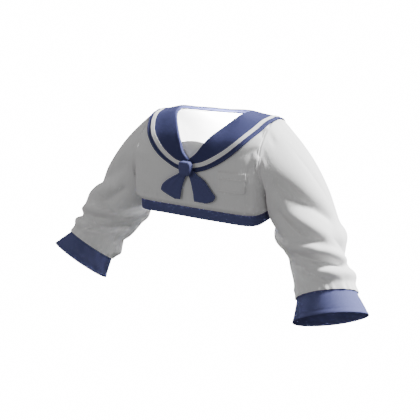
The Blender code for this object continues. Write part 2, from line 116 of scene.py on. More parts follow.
CUFF_ROWS = np.array((
    # along, half_width, half_depth
    (-0.005, 0.0785, 0.0700),
    (0.002, 0.0790, 0.0705),
    (0.020, 0.0850, 0.0735),
    (0.042, 0.0930, 0.0770),
    (0.062, 0.1005, 0.0800),
))
FOLD_RADIUS = 0.086
FOLDS_FROM = 0.1
FOLDS_GROW = 0.2
COLLAR_EDGE = np.array((
    # x, t
    (0.000, 0.305),
    (0.026, 0.326),
    (0.054, 0.352),
    (0.090, 0.410),
    (0.123, 0.485),
    (0.152, 0.583),
    (0.172, 0.695),
    (0.187, 0.825),
    (0.1965, 1.000),
    (0.191, 1.130),
    (0.185, 1.260),
    (0.180, 1.390),
    (0.177, 1.520),
    (0.175, 1.645),
    (0.131, 1.645),
    (0.087, 1.645),
    (0.043, 1.645),
    (0.000, 1.645),
))
COLLAR_SHOULDER = 8
COLLAR_CORNER = 13
BORDER = 0.012
TAPE_WIDTH = 0.012
COLLAR_OVERHANG = 0.004
COLLAR_LOW = 0.0062
COLLAR_HIGH = 0.0110
BEHIND = 0.0030
HEM_TOP = -0.2425
HEM_LOW = -0.279
HEM_HALF_WIDTH = 0.1962
HEM_HALF_DEPTH = 0.1372
KNOT_CENTRE = (0.0, -0.1734, -0.128)
KNOT_BACK = 0.0138  # how far the knot reaches back from its middle, to the collar
TAIL_FACE = -0.1625
TAIL_ROWS = np.array((
    # drop, left_inner, left_outer, right_inner, right_outer, swell
    (-0.134, 0.002, 0.017, 0.002, 0.017, 0.000),
    (-0.146, 0.003, 0.028, 0.003, 0.032, 0.001),
    (-0.158, 0.008, 0.048, 0.008, 0.052, 0.003),
    (-0.172, 0.014, 0.069, 0.012, 0.064, 0.004),
    (-0.187, 0.019, 0.084, 0.015, 0.076, 0.004),
    (-0.200, 0.022, 0.088, 0.018, 0.086, 0.003),
    (-0.212, 0.024, 0.068, 0.019, 0.080, 0.002),
    (-0.221, 0.025, 0.044, 0.021, 0.062, 0.001),
))
KNIT = 0.0018
RIB = 0.0022
TAPE = 0.0010

# Folds of both sleeves, each between two places: along is 0 at the armhole and 1 at the
# cuff, round is 0 on the outer top, 90 in front, 180 underneath and 270 behind.
SLEEVE_FOLDS = (
    # from_along, from_round, to_along, to_round, height, width
    (0.27, 92, 0.40, 58, -0.012, 0.021),
    (0.40, 58, 0.53, 22, -0.012, 0.018),
    (0.43, 92, 0.62, 44, 0.006, 0.018),
    (0.41, 106, 0.575, 82, -0.009, 0.014),
    (0.63, 102, 0.70, 70, 0.011, 0.014),
    (0.70, 70, 0.80, 14, 0.010, 0.015),
    (0.70, 102, 0.84, 28, -0.010, 0.014),
    (0.90, 78, 0.89, -40, 0.009, 0.014),
    (0.76, 112, 0.94, 64, -0.005, 0.012),
    (0.62, 114, 0.47, 188, 0.008, 0.017),
    (0.56, 125, 0.40, 190, -0.006, 0.016),
    (0.78, 112, 0.68, 165, -0.007, 0.015),
    (0.66, 5, 0.60, -45, 0.007, 0.018),
    (0.77, -10, 0.73, -70, -0.009, 0.015),
    (0.36, 250, 0.58, 300, -0.009, 0.020),
    (0.58, 215, 0.68, 285, 0.008, 0.018),
    (0.82, 190, 0.80, 265, -0.008, 0.016),
    (0.92, 175, 0.93, 245, 0.006, 0.016),
)
# Finer creases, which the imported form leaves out, a table for each sleeve
FINE_CREASES = {
    1: (
        (0.15, 30, 0.42, 8, -0.0020, 0.009),
        (0.22, 104, 0.36, 84, 0.0030, 0.014),
        (0.39, 100, 0.46, 112, -0.0045, 0.007),
        (0.56, 84, 0.66, 48, -0.0030, 0.010),
        (0.60, 100, 0.63, 112, -0.0040, 0.007),
        (0.655, 92, 0.72, 58, 0.0024, 0.006),
        (0.68, 118, 0.78, 102, -0.0030, 0.007),
        (0.75, 78, 0.80, 52, -0.0026, 0.006),
        (0.84, 98, 0.90, 80, -0.0022, 0.006),
        (0.87, 66, 0.93, 34, 0.0022, 0.007),
        (0.66, 28, 0.76, 6, -0.0026, 0.007),
        (0.45, 262, 0.58, 292, -0.0030, 0.007),
        (0.70, 225, 0.74, 262, -0.0028, 0.007),
        (0.86, 205, 0.88, 250, -0.0022, 0.006),
        (0.58, 150, 0.50, 182, -0.0026, 0.007),
        (0.70, -30, 0.67, -62, -0.0024, 0.007),
    ),
    -1: (
        (0.33, 50, 0.42, 84, -0.0045, 0.010),
        (0.44, 76, 0.52, 96, -0.0035, 0.009),
        (0.52, 34, 0.68, 42, 0.0050, 0.013),
        (0.68, 44, 0.67, 92, 0.0060, 0.013),
        (0.56, 60, 0.58, 108, -0.0050, 0.011),
        (0.74, 30, 0.80, 96, -0.0045, 0.008),
        (0.70, 118, 0.55, 168, 0.0040, 0.013),
        (0.80, 118, 0.84, 76, -0.0035, 0.007),
        (0.86, 104, 0.92, 80, 0.0022, 0.008),
        (0.88, 60, 0.93, 30, -0.0026, 0.007),
        (0.43, 255, 0.55, 290, -0.0028, 0.007),
        (0.72, 222, 0.76, 256, -0.0026, 0.007),
        (0.60, 146, 0.51, 180, -0.0028, 0.007),
        (0.71, -26, 0.66, -60, -0.0022, 0.007),
    ),
}
# Soft folds of the two panels, between two places on each
FRONT_FOLDS = (
    # from_x, from_t, to_x, to_t, height, width
    (0.176, 0.50, 0.178, 0.10, -0.0040, 0.011),
    (-0.178, 0.46, -0.180, 0.10, -0.0030, 0.011),
    (0.182, 0.56, 0.120, 0.44, -0.0028, 0.013),
    (-0.184, 0.52, -0.130, 0.42, -0.0022, 0.013),
    (0.168, 0.24, 0.110, 0.15, 0.0020, 0.014),
    (-0.172, 0.22, -0.100, 0.12, 0.0022, 0.015),
    (-0.060, 0.10, -0.020, 0.20, 0.0014, 0.015),
    (0.050, 0.09, 0.075, 0.17, 0.0012, 0.013),
)
BACK_FOLDS = (
    (0.180, 1.52, 0.178, 1.90, -0.0034, 0.012),
    (-0.180, 1.50, -0.182, 1.88, -0.0038, 0.012),
    (0.184, 1.62, 0.110, 1.76, 0.0026, 0.015),
    (-0.182, 1.66, -0.120, 1.80, 0.0024, 0.015),
    (0.060, 1.74, 0.085, 1.90, -0.0016, 0.014),
    (-0.030, 1.72, -0.050, 1.91, -0.0016, 0.014),
    (-0.110, 1.84, -0.075, 1.92, 0.0016, 0.012),
)
FOLD_DEPTH = 1.75
FOLD_LIMIT = 0.018  # no fold reaches further from the sleeve's plain form
TROUGH_LINE = 0.35
TROUGH_WIDTH = 0.62
FOLD_END = 0.65  # a fold's height at its ends, as a share of its middle's
# The armhole's puckers: waves round it, uneven in size
PUCKERS = (
    # waves, height, phase
    (11, 0.0021, 0.4),
    (17, 0.0012, 2.1),
    (7, 0.0012, 1.2),
)
CUFF_GATHERS = (
    (23, 0.0008, 0.2),
    (31, 0.0005, 1.7),
    (14, 0.0006, 2.6),
)
HEM_GATHERS = (
    (26, 0.0006, 0.9),
    (38, 0.0004, 2.3),
    (15, 0.0006, 0.3),
)


def smooth(x, xs, ys):
    """A monotone cubic through the points, without overshoot."""
    xs, ys = np.asarray(xs, float), np.asarray(ys, float)
    step = np.diff(xs)
    rise = np.diff(ys) / step
    slope = np.zeros(len(xs))
    slope[0], slope[-1] = rise[0], rise[-1]
    for i in range(1, len(xs) - 1):
        if rise[i - 1] * rise[i] > 0:
            slope[i] = 2 / (1 / rise[i - 1] + 1 / rise[i])
    x = np.clip(x, xs[0], xs[-1])
    i = np.clip(np.searchsorted(xs, x, side="right") - 1, 0, len(step) - 1)
    h, s = step[i], (x - xs[i]) / step[i]
    return (
        ys[i] * (1 + 2 * s) * (1 - s) ** 2
        + h * slope[i] * s * (1 - s) ** 2
        + ys[i + 1] * s * s * (3 - 2 * s)
        + h * slope[i + 1] * s * s * (s - 1)
    )


def curve(places, values):
    """A smooth curve through evenly numbered values, at fractional places."""
    values = np.asarray(values, float)
    last = len(values) - 1
    padded = np.vstack([2 * values[0] - values[1], values, 2 * values[-1] - values[-2]])
    i = np.clip(np.floor(places).astype(int), 0, last - 1)
    s = (places - i)[:, None]
    a, b, c, d = (padded[i + k] for k in range(4))
    return b + 0.5 * s * (c - a + s * (2 * a - 5 * b + 4 * c - d + s * (3 * (b - c) + d - a)))


def ease(s):
    s = np.clip(s, 0.0, 1.0)
    return s * s * (3 - 2 * s)


def unit(v):
    return v / np.maximum(np.linalg.norm(v, axis=-1, keepdims=True), 1e-12)


def body_at(t):
    up = np.where(t > 1, 2 - t, t)
    return [smooth(up, BODY_LEVELS[:, 0], BODY_LEVELS[:, k]) for k in (1, 2, 3)]


def shoulder_rise(x, t):
    up = np.where(t > 1, 2 - t, t)
    rise = NECK_RISE - SHOULDER_FALL * np.maximum(0, np.abs(x) - NECK_SIDE)
    return rise * ease((up - RISE_FROM) / (1 - RISE_FROM))


def skin(x, t):
    """The body's outer face at x and t, for arrays of both."""
    x, t = np.broadcast_arrays(np.asarray(x, float), np.asarray(t, float))
    z, width, depth = body_at(t)
    inside = np.clip(1 - (np.abs(x) / width) ** SQUARENESS, 0, None) ** (1 / SQUARENESS)
    facing = np.where(t > 1, 1.0, -1.0)
    return np.stack([x, facing * depth * inside, z + shoulder_rise(x, t)], -1)


def skin_normal(x, t, step=0.002):
    across = skin(x + step, t) - skin(x - step, t)
    along = skin(x, t + step) - skin(x, t - step)
    return unit(np.cross(across, along))


def raised(x, t, lift):
    return skin(x, t) + np.asarray(lift)[..., None] * skin_normal(x, t)


def armhole_x(share, t):
    """How far out the skin is where its depth is this share of the half depth."""
    width = body_at(t)[1]
    return width * np.clip(1 - share ** SQUARENESS, 0, None) ** (1 / SQUARENESS)


def at_depth(share, t):
    share, t = np.broadcast_arrays(np.asarray(share, float), np.asarray(t, float))
    z, _, depth = body_at(t)
    x = armhole_x(share, t)
    facing = np.where(t > 1, 1.0, -1.0)
    return np.stack([x, facing * depth * share, z + shoulder_rise(x, t)], -1)


def armhole_side(steps, front):
    """(t, share) at steps up one side of the armhole, from the underarm."""
    upper = FRONT_ROWS if front else BACK_ROWS
    reach = ARMHOLE_FRONT if front else ARMHOLE_BACK
    bend = np.clip(steps / BEND_STEPS, 0, 1) * math.pi / 2
    low_t = UNDERARM + (1 - UNDERARM) * ARMHOLE_BEND * (1 - np.cos(bend))
    knots = np.concatenate([[V_POINT], upper])
    high_t = np.interp(steps - BEND_STEPS, np.arange(len(knots)), knots)
    t = np.where(steps > BEND_STEPS, high_t, low_t)
    meets = ease((t - ARMHOLE_MEETS) / (1 - ARMHOLE_MEETS))
    upper_share = reach + (ARMHOLE_FRONT - reach) * meets
    share = np.where(steps > BEND_STEPS, upper_share, reach * np.sin(bend))
    return t, share


def neck_x(t):
    if t <= 1:
        part = NECKLINE[: NECK_SHOULDER + 1]
    else:
        part = NECKLINE[NECK_SHOULDER:-1]
        if t >= part[-1, 1]:
            return 0.0
    return float(np.interp(t, part[:, 1], part[:, 0]))


def waves(table, angle):
    return sum(height * np.cos(count * angle + phase) for count, height, phase in table)


def fold_profile(away, width, trough):
    """A soft ridge, or a trough with a crisper line, at squared distances from its line."""
    if not trough:
        return np.exp(-away / width ** 2)
    line = TROUGH_LINE * width
    return np.exp(-(np.sqrt(away + line ** 2) - line) / (TROUGH_WIDTH * width))


def folds_at(table, u, v):
    """Sum of soft ridges and troughs at places u, v, given as lines between places."""
    total = np.zeros_like(u)
    for u0, v0, u1, v1, height, width in table:
        du, dv = u1 - u0, v1 - v0
        share = np.clip(((u - u0) * du + (v - v0) * dv) / (du * du + dv * dv), 0, 1)
        away = (u - u0 - share * du) ** 2 + (v - v0 - share * dv) ** 2
        taper = FOLD_END + (1 - FOLD_END) * np.sin(math.pi * share)
        total += height * taper * fold_profile(away, width, height < 0)
    return total


def grid_normals(points):
    """Normals of a grid of points, pointing as rows cross columns."""
    return unit(np.cross(np.gradient(points, axis=1), np.gradient(points, axis=0)))


# Making meshes

ROUND_RIM = 0.0005
RIM_ANGLE = math.radians(50)
SHARP_ANGLE = math.radians(60)
WELD_WITHIN = 0.00002


def linked(name, data):
    """A new object in the scene, for a mesh, a light or the camera."""
    obj = bpy.data.objects.new(name, data)
    bpy.context.scene.collection.objects.link(obj)
    return obj


def shell(name, grids, thickness, cloth):
    """A thin walled piece from grids of its outer face: (points, flat, closed, flip)."""
    points, quads, flats = [], [], []
    base = 0
    for grid, flat, closed, flip in grids:
        rows, cols = grid.shape[:2]
        last = cols if closed else cols - 1
        r, c = np.meshgrid(np.arange(rows - 1), np.arange(last), indexing="ij")
        n = (c + 1) % cols
        quad = np.stack([r * cols + c, r * cols + n, (r + 1) * cols + n, (r + 1) * cols + c], -1)
        uv = np.stack([flat[r, c], flat[r, c + 1], flat[r + 1, c + 1], flat[r + 1, c]], 2)
        quad, uv = quad.reshape(-1, 4) + base, uv.reshape(-1, 4, 2)
        if flip:
            quad, uv = quad[:, ::-1], uv[:, ::-1]
        points.append(grid.reshape(-1, 3))
        quads.append(quad)
        flats.append(uv)
        base += rows * cols
    mesh = bpy.data.meshes.new(name)
    mesh.from_pydata(np.vstack(points).tolist(), [], np.vstack(quads).tolist())
    layer = mesh.uv_layers.new(name="cloth")
    layer.data.foreach_set("uv", np.vstack(flats).reshape(-1).astype(np.float32))
    obj = linked(name, mesh)
    weld = obj.modifiers.new("weld", "WELD")
    weld.merge_threshold = WELD_WITHIN
    solid = obj.modifiers.new("wall", "SOLIDIFY")
    solid.thickness = thickness
    solid.offset = -1
    solid.use_quality_normals = True
    rim = obj.modifiers.new("rim", "BEVEL")
    rim.width = ROUND_RIM
    rim.segments = 2
    rim.limit_method = "ANGLE"
    rim.angle_limit = RIM_ANGLE
    applied(obj)
    obj.data.shade_smooth()
    obj.data.set_sharp_from_angle(angle=SHARP_ANGLE)
    obj.data.materials.append(cloth)
    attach(obj, "root")
    return obj


def applied(obj):
    """Bakes the modifiers into the mesh."""
    graph = bpy.context.evaluated_depsgraph_get()
    made = bpy.data.meshes.new_from_object(obj.evaluated_get(graph))
    made.name = obj.name
    old = obj.data
    obj.modifiers.clear()
    obj.data = made
    bpy.data.meshes.remove(old)


# Cloth

WHITE = (0.80, 0.80, 0.80)
NAVY = (0.095, 0.104, 0.235)
NAVY_PAINTED_SHADE = (0.046, 0.051, 0.134)  # the collar's: the same navy darkened as painted shade, as the light from above meets it full on
NAVY_THREAD = (0.16, 0.18, 0.38)
WHITE_THREAD = (0.86, 0.86, 0.86)
SPECULAR = 0.12
KNIT_COURSE = 0.0017
RIB_COURSE = 0.0014
STITCH_LEAN = 1.1
PIT_SHADE = 0.86
BROAD_DYE = 14.0
FINE_DYE = 420.0
FUZZ = 900.0
TWIST = 2500.0


def tree_of(name):
    made = bpy.data.materials.new(name)
    made.use_nodes = True
    return made, made.node_tree, made.node_tree.nodes["Principled BSDF"]


def link(tree, source, target):
    tree.links.new(source, target)


def calc(tree, what, a, b=None):
    node = tree.nodes.new("ShaderNodeMath")
    node.operation = what
    for socket, value in zip(node.inputs, (a, b)):
        if value is None:
            continue
        if isinstance(value, (int, float)):
            socket.default_value = value
        else:
            link(tree, value, socket)
    return node.outputs[0]


def flat_places(tree):
    """The cloth's own u and v, in metres along its cut."""
    uv = tree.nodes.new("ShaderNodeUVMap")
    uv.uv_map = "cloth"
    split = tree.nodes.new("ShaderNodeSeparateXYZ")
    link(tree, uv.outputs[0], split.inputs[0])
    return split.outputs[0], split.outputs[1]


def noise(tree, scale, detail=4.0, rough=0.5):
    where = tree.nodes.new("ShaderNodeTexCoord")
    made = tree.nodes.new("ShaderNodeTexNoise")
    made.inputs["Scale"].default_value = scale
    made.inputs["Detail"].default_value = detail
    made.inputs["Roughness"].default_value = rough
    link(tree, where.outputs["Object"], made.inputs["Vector"])
    return made.outputs["Fac"]


def sine_along(tree, place, length):
    return calc(tree, "SINE", calc(tree, "MULTIPLY", place, TURN / length))


def weighed(tree, a, b, share):
    """The sum of a and a share of b."""
    return calc(tree, "ADD", a, calc(tree, "MULTIPLY", b, share))


def knit_height(tree, wale):
    """Height of plain knit: columns of leaning stitches."""
    u, v = flat_places(tree)
    column = calc(tree, "FRACT", calc(tree, "DIVIDE", u, wale))
    lean = calc(tree, "ABSOLUTE", calc(tree, "SUBTRACT", column, 0.5))
    phase = weighed(tree, calc(tree, "DIVIDE", v, KNIT_COURSE), lean, STITCH_LEAN)
    loop = calc(tree, "MULTIPLY", sine_along(tree, phase, 1.0), 0.5)
    return weighed(tree, loop, sine_along(tree, column, 2.0), 1.2)


def rib_height(tree, pitch):
    u, v = flat_places(tree)
    return weighed(tree, sine_along(tree, u, pitch), sine_along(tree, v, RIB_COURSE), 0.25)


def twill_height(tree, pitch):
    u, v = flat_places(tree)
    line = sine_along(tree, calc(tree, "ADD", u, v), pitch)
    return weighed(tree, line, sine_along(tree, u, pitch / 2), 0.3)


def ramp(tree, source, low, high):
    """A colour between two ends, each given as its place and its colour."""
    made = tree.nodes.new("ShaderNodeValToRGB")
    for element, (position, colour) in zip(made.color_ramp.elements, (low, high)):
        element.position = position
        element.color = (*colour, 1)
    link(tree, source, made.inputs[0])
    return made.outputs[0]


def add_bump(tree, shader, height, strength, depth):
    bump = tree.nodes.new("ShaderNodeBump")
    bump.inputs["Strength"].default_value = strength
    bump.inputs["Distance"].default_value = depth
    link(tree, height, bump.inputs["Height"])
    link(tree, bump.outputs[0], shader.inputs["Normal"])


def cloth_material(name, colour, relief, pitch, strength, depth, sheen, rough, mottle):
    """Cloth with its weave as bump, painted shade in the weave's pits and a slightly uneven dye."""
    made, tree, shader = tree_of(name)
    shader.inputs["Roughness"].default_value = rough
    shader.inputs["Sheen Weight"].default_value = sheen
    shader.inputs["Sheen Roughness"].default_value = 0.5
    shader.inputs["Specular IOR Level"].default_value = SPECULAR
    height = relief(tree, pitch)
    add_bump(tree, shader, weighed(tree, height, noise(tree, FUZZ, 2.0), 0.8), strength, depth)
    low = [c * (1 - mottle) for c in colour]
    high = [min(1.0, c * (1 + mottle)) for c in colour]
    broad = calc(tree, "MULTIPLY", noise(tree, BROAD_DYE), 0.5)
    patch = weighed(tree, broad, noise(tree, FINE_DYE, 2.0), 0.5)
    dye = ramp(tree, patch, (0.3, low), (0.7, high))
    # painted shade: the colour darkened in the weave's pits, by the weave's height
    pit = calc(tree, "ADD", calc(tree, "MULTIPLY", height, 0.35), 0.5)
    shade = tree.nodes.new("ShaderNodeMix")
    shade.data_type = "RGBA"
    shade.blend_type = "MULTIPLY"
    colour_a, colour_b = [socket for socket in shade.inputs if socket.type == "RGBA"]
    shade.inputs["Factor"].default_value = 1.0
    link(tree, dye, colour_a)
    link(tree, ramp(tree, pit, (0.0, (PIT_SHADE,) * 3), (0.6, (1, 1, 1))), colour_b)
    mixed = [socket for socket in shade.outputs if socket.type == "RGBA"][0]
    link(tree, mixed, shader.inputs["Base Color"])
    return made


def thread(name, colour):
    made, tree, shader = tree_of(name)
    shader.inputs["Base Color"].default_value = (*colour, 1)
    shader.inputs["Roughness"].default_value = 0.6
    add_bump(tree, shader, noise(tree, TWIST, 1.0), 0.3, 0.0001)
    return made


# name, colour, relief, pitch, strength, depth, sheen, roughness, mottle
white_knit = cloth_material("white_knit", WHITE, knit_height, 0.0022, 0.35, 0.0004, 0.10, 0.85, 0.02)
navy_rib = cloth_material("navy_rib", NAVY, rib_height, 0.0026, 0.35, 0.0005, 0.0, 0.80, 0.05)
# the collar's cloth: a darker copy of the navy, painted shade against the light from above
navy_twill_painted_shade = cloth_material("navy_twill_painted_shade", NAVY_PAINTED_SHADE, twill_height, 0.0012, 0.25, 0.0003, 0.0, 0.75, 0.05)
scarf_twill = cloth_material("scarf_twill", NAVY, twill_height, 0.0012, 0.25, 0.0003, 0.0, 0.75, 0.05)
white_tape = cloth_material("white_tape", WHITE, rib_height, 0.0010, 0.25, 0.0003, 0.05, 0.75, 0.02)
navy_thread = thread("navy_thread", NAVY_THREAD)
white_thread = thread("white_thread", WHITE_THREAD)

# Where each node's piece is sewn: lines, each with the way out of the cloth
SEAMS = {}


# Body

BODY_RUN = float(np.sum(np.hypot(np.diff(BODY_LEVELS[:, 1]), np.diff(BODY_LEVELS[:, 3]))))
ROW_STEPS = 5  # rows for each step up the armhole
PANEL_COLUMNS = 64
PROFILE_STEPS = 600
HEM_ROWS = 12
PUCKER_REACH = 0.016
PUCKERS_END = 0.15
GROOVE_DEPTH = 0.0012
GROOVE_REACH = 0.004
GATHERED_AT = 0.055
GATHERED_REACH = 0.05
GATHER_RADIUS = 0.065
STITCH_FROM_SEAM = 0.006
STITCH_COLUMN = -6


def in_metres(table):
    """A table of folds between places in x and t, with each t as metres along the cloth."""
    return [(a, b * BODY_RUN, c, d * BODY_RUN, height, width) for a, b, c, d, height, width in table]


def panel(name, front):
    t_low = np.linspace(0, UNDERARM, HEM_ROWS + 1)[:-1]
    steps = np.arange(0, TOP_STEP * ROW_STEPS + 1) / ROW_STEPS
    t_high, share_high = armhole_side(steps, front)
    rows_t = np.concatenate([t_low, np.minimum(t_high, SHOULDER_SEAM)])
    shares = np.concatenate([np.zeros(HEM_ROWS), share_high])
    armhole_step = np.concatenate([np.full(HEM_ROWS, -1.0), steps])[:, None]
    angle = np.linspace(0, math.pi / 2, PROFILE_STEPS)
    sideways = np.sin(angle) ** (2 / SQUARENESS)
    deep = np.cos(angle) ** (2 / SQUARENESS)
    deep[-1] = 0.0
    points, seam_away = [], []
    for t, share in zip(rows_t, shares):
        over = t if front else 2 - t
        z, width, depth = body_at(np.array(over))
        x = width * sideways
        facing = -1.0 if front else 1.0
        line = np.stack([x, facing * depth * deep, z + shoulder_rise(x, over)], 1)
        length = np.concatenate([[0], np.cumsum(np.linalg.norm(np.diff(line, axis=0), axis=1))])
        opens = t >= (V_POINT if front else BACK_NECK)
        start = np.interp(neck_x(over) if opens else 0.0, line[:, 0], length)
        end = np.interp(1 - share, 1 - deep, length) - (0 if share else SEAM_GAP)
        places = start + (end - start) * np.linspace(0, 1, PANEL_COLUMNS + 1)
        points.append(np.stack([np.interp(places, length, line[:, k]) for k in range(3)], 1))
        seam_away.append(end - places)
    base = np.array(points)
    away = np.array(seam_away)
    over = (rows_t if front else 2 - rows_t)[:, None]
    from_hem = np.minimum(over, 2 - over)
    normal = grid_normals(base) * (1 if front else -1)
    ring = (TOP_STEP - armhole_step if front else TOP_STEP + armhole_step) * math.pi / TOP_STEP
    by_armhole = ease((1 - from_hem) / PUCKERS_END) * (armhole_step >= 0)
    groove = GROOVE_DEPTH * np.exp(-(away / GROOVE_REACH) ** 2)
    near_hem = np.exp(-((from_hem - GATHERED_AT) / GATHERED_REACH) ** 2)
    grids = []
    for side in (1, -1):
        flip = np.array([side, 1, 1])
        x = base[..., 0] * side
        down = np.broadcast_to(over * BODY_RUN, x.shape)
        lift = folds_at(in_metres(FRONT_FOLDS if front else BACK_FOLDS), x, down)
        lift += by_armhole * (np.exp(-(away / PUCKER_REACH) ** 2) * waves(PUCKERS, ring + side) - groove)
        lift += near_hem * waves(HEM_GATHERS, x / GATHER_RADIUS + (0 if front else 2))
        placed = (base + normal * lift[..., None]) * flip
        if front:
            inner_seam = np.array([
                [np.interp(STITCH_FROM_SEAM, row_away[::-1], row[::-1, k]) for k in range(3)]
                for row, row_away in zip(placed[HEM_ROWS:], away[HEM_ROWS:])
            ])
            out = (normal * flip)[HEM_ROWS:, STITCH_COLUMN]
            SEAMS.setdefault("front_panel", []).append((inner_seam, out))
        grids.append((placed, np.stack([x, down], -1), False, (side > 0) != front))
    return shell(name, grids, KNIT, white_knit)


# Sleeves and cuffs

SLEEVE_COLUMNS = 180
SLEEVE_ROWS = 130
ROWS_FROM = 0.05
FIRST_ROW = 0.062
NEXT_ROW = 0.075
CUFF_GATHER_REACH = 0.014
SLEEVE_PUCKERS = 0.8
SLEEVE_PUCKER_REACH = 0.030
PUCKERS_RISE = 0.5
TUCKED = 0.005  # how far the sleeve runs on under the panels
TUCK_DEPTH = 0.0023
SEAM_DIP = 0.0014
SEAM_SWELL = 0.0004
DOWN_STEP = 0.05
UP_STEP = 0.01
UNDERARM_SHARE = 0.02


def armhole_loop(count):
    """The armhole's points, and at each the way that the panels' skin would go on."""
    place = np.arange(count) / count * 2 * TOP_STEP
    front_t, front_share = armhole_side(np.clip(TOP_STEP - place, 0, TOP_STEP), True)
    back_t, back_share = armhole_side(np.clip(place - TOP_STEP, 0, TOP_STEP), False)
    is_front = place <= TOP_STEP
    t = np.where(is_front, front_t, 2 - back_t)
    share = np.where(is_front, front_share, back_share)
    loop = at_depth(share, t)
    tangent = unit(np.roll(loop, -1, axis=0) - np.roll(loop, 1, axis=0))
    across = at_depth(np.maximum(share - DOWN_STEP, 0), t) - at_depth(share + DOWN_STEP, t)
    rise = at_depth(share, t + UP_STEP) - at_depth(share, t - UP_STEP)
    normal = unit(np.cross(across, rise))
    normal[share < UNDERARM_SHARE] = (1.0, 0.0, 0.0)
    side = unit(np.cross(tangent, normal))
    into = np.stack([np.full(count, NECK_SIDE), -loop[:, 1], ARMHOLE_MIDDLE - loop[:, 2]], 1)
    side = np.where(np.sum(side * into, 1, keepdims=True) > 0, side, -side)
    ridge = unit(np.array([1.0, 0.0, -SHOULDER_FALL]))
    near = ease(1 - np.minimum(place, 2 * TOP_STEP - place) / 1.0)[:, None]
    return loop, unit((1 - near) * side + near * ridge)


def arm_station(along):
    return [smooth(along, ARM_STATIONS[:, 0], ARM_STATIONS[:, k]) for k in range(1, 7)]


def arm_axis(along):
    after = np.stack(arm_station(np.minimum(along + AXIS_STEP, 1.0))[:3], -1)
    before = np.stack(arm_station(np.maximum(along - AXIS_STEP, 0.0))[:3], -1)
    turn = ease((along - CUFF_TURN) / (1 - CUFF_TURN))[:, None]
    return unit((1 - turn) * unit(after - before) + turn * unit(CUFF_AXIS))


def ring_frame(axis):
    front = np.broadcast_to(np.array([0.0, -1.0, 0.0]), axis.shape)
    front = unit(front - axis * np.sum(front * axis, -1, keepdims=True))
    return np.cross(front, axis), front


def sleeve_folds(side, along, angle):
    """How far the sleeve's cloth stands out from its plain form."""
    u = along * ARM_LENGTH + 0 * angle
    lift = np.zeros_like(u)
    for table, depth in ((SLEEVE_FOLDS, FOLD_DEPTH), (FINE_CREASES[side], 1.0)):
        lines = [(a * ARM_LENGTH, math.radians(b) * FOLD_RADIUS, c * ARM_LENGTH,
                  math.radians(d) * FOLD_RADIUS, height, width) for a, b, c, d, height, width in table]
        for turns in (-1, 0, 1):
            v = (angle + turns * TURN) * FOLD_RADIUS + 0 * u
            lift += folds_at(lines, u, v) * depth
    folded = ease((along - FOLDS_FROM) / FOLDS_GROW)
    lift = folded * FOLD_LIMIT * np.tanh(lift / FOLD_LIMIT)
    gathers = waves(CUFF_GATHERS, angle + side)
    lift += np.exp(-((1 - along) * ARM_LENGTH / CUFF_GATHER_REACH) ** 2) * gathers
    puckers = waves(PUCKERS, angle + side) * puckers_fade(angle) * SLEEVE_PUCKERS
    return lift + np.exp(-(along * ARM_LENGTH / SLEEVE_PUCKER_REACH) ** 2) * puckers


def puckers_fade(angle):
    return ease(np.minimum(angle, TURN - angle) / PUCKERS_RISE)


def sleeve(name, side):
    count = SLEEVE_COLUMNS
    loop, onward = armhole_loop(count)
    angle = TURN * np.arange(count) / count
    along = np.linspace(ROWS_FROM, 1, SLEEVE_ROWS)
    along = np.concatenate([[FIRST_ROW], along[along > NEXT_ROW]])
    x, y, z, radius, depth, slant = (v[:, None] for v in arm_station(along))
    centre = np.concatenate([x, y, z], 1)[:, None, :]
    top, front = (v[:, None, :] for v in ring_frame(arm_axis(along)))
    own = ease(along / LEAVES_BODY)[:, None, None]
    cos, sin = np.cos(angle)[None, :, None], np.sin(angle)[None, :, None]
    spread = (1 + slant * np.cos(2 * (angle - SLANT_TO))[None, :])[..., None]
    free = centre + spread * (radius[..., None] * cos * top + depth[..., None] * sin * front)
    held = (loop + onward * SEAM_RUN)[None] + centre - ARM_STATIONS[0, 1:4]
    place = (1 - own) * held + own * free
    lift = sleeve_folds(side, along[:, None], angle[None])
    place = place + (cos * top + sin * front) * lift[..., None]
    hangs = ease((CLEAR_FROM - place[..., 2]) / CLEAR_OVER)
    place[..., 0] += hangs * np.maximum(0.0, BODY_CLEAR - place[..., 0])
    first, second = loop + onward * SEAM_GAP, loop + onward * SEAM_RUN
    dip = np.cross(unit(np.roll(loop, -1, axis=0) - np.roll(loop, 1, axis=0)), onward)
    outwards = np.sum(dip * (loop - np.array([0.1, 0, ARMHOLE_MIDDLE])), 1, keepdims=True) > 0
    dip = np.where(outwards, dip, -dip)
    fade = puckers_fade(angle)[:, None]
    under = dip * TUCK_DEPTH
    early = np.array([
        loop - onward * TUCKED - under,
        loop - under,
        first - dip * SEAM_DIP * fade,
        0.5 * (first + second) + dip * SEAM_SWELL * fade,
        second,
    ])
    grid = np.concatenate([early, place]) * np.array([side, 1, 1])
    far = np.concatenate([[-TUCKED, -TUCKED / 2.5, 0.0, SEAM_RUN / 2, SEAM_RUN], along * ARM_LENGTH])
    round_to = np.arange(count + 1) * TURN * FOLD_RADIUS / count
    flat = np.stack(np.broadcast_arrays(round_to[None, :], far[:, None]), -1)
    return shell(name, [(grid, flat, True, side > 0)], KNIT, white_knit)


SEAM_FROM_EDGE = 0.0115
CUFF_MEAN_RADIUS = 0.088
EDGE_SWELL_AT = 0.004
EDGE_SWELL_REACH = 0.003
EDGE_GROOVE = 0.0007
EDGE_GROOVE_REACH = 0.0012


def turned_edge(from_edge, swell, sewn_at):
    """Relief of an edge that is turned under: a soft swell, and a groove where it is sewn."""
    groove = EDGE_GROOVE * np.exp(-((from_edge - sewn_at) / EDGE_GROOVE_REACH) ** 2)
    return swell * np.exp(-((from_edge - EDGE_SWELL_AT) / EDGE_SWELL_REACH) ** 2) - groove


